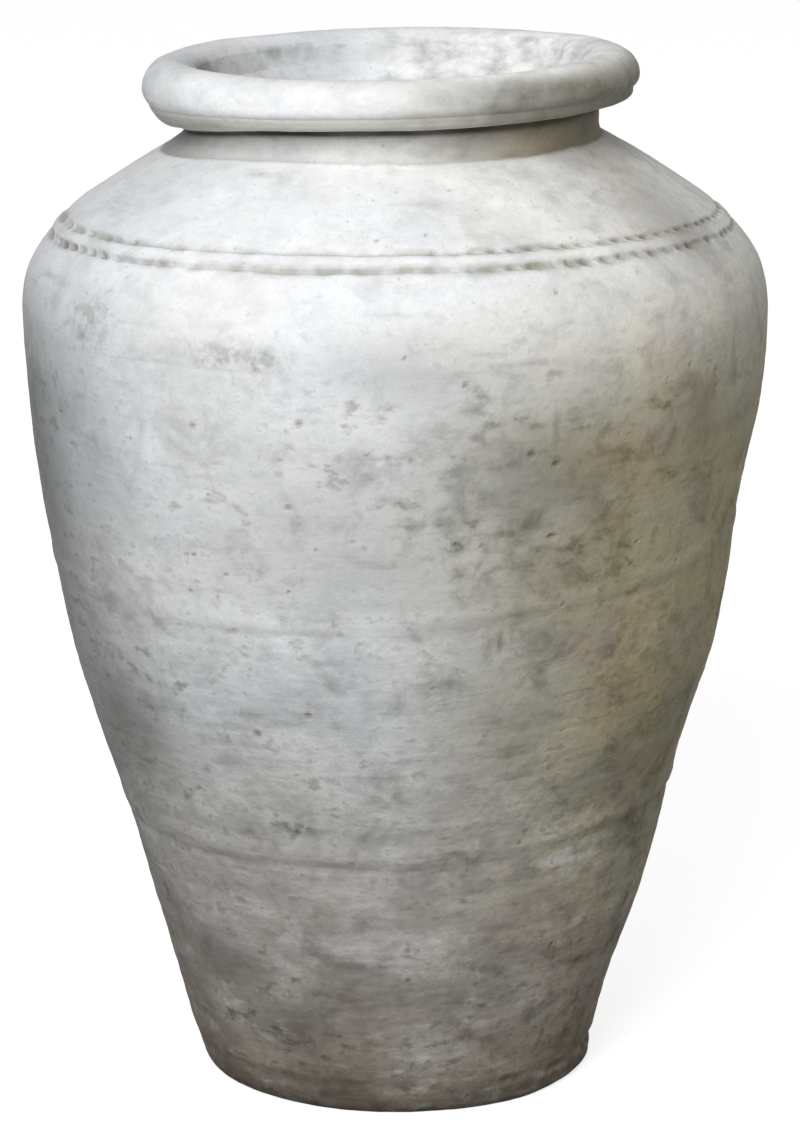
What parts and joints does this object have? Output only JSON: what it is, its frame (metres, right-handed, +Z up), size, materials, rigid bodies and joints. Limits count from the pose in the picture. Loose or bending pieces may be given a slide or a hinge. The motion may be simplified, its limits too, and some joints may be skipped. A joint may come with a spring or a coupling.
{
  "type": "storage jar",
  "caption": "Tall hand-built clay storage jar with a narrow flat foot, wide belly, cord-marked band round the shoulder, short neck and thick rolled rim.",
  "frame": {"origin": "middle of the flat foot, on the surface that the jar stands on", "axes": "+Z up along the jar's axis, -Y towards the side seen in the picture"},
  "size_m": [0.72, 0.72, 0.9999],
  "materials": {
    "bare_clay": "matt fired clay, scraped and weathered, brown and grey",
    "whitened_clay": "matt fired clay under a worn white wash"
  },
  "bodies": {
    "root": {"base_disc": "bare_clay", "foot_wall": "bare_clay", "lower_belly": "bare_clay", "upper_belly": "whitened_clay", "shoulder": "whitened_clay", "cord_band": "whitened_clay", "neck_collar": "whitened_clay", "lip_ring": "whitened_clay", "rim_roll": "whitened_clay"}
  },
  "joints": []
}
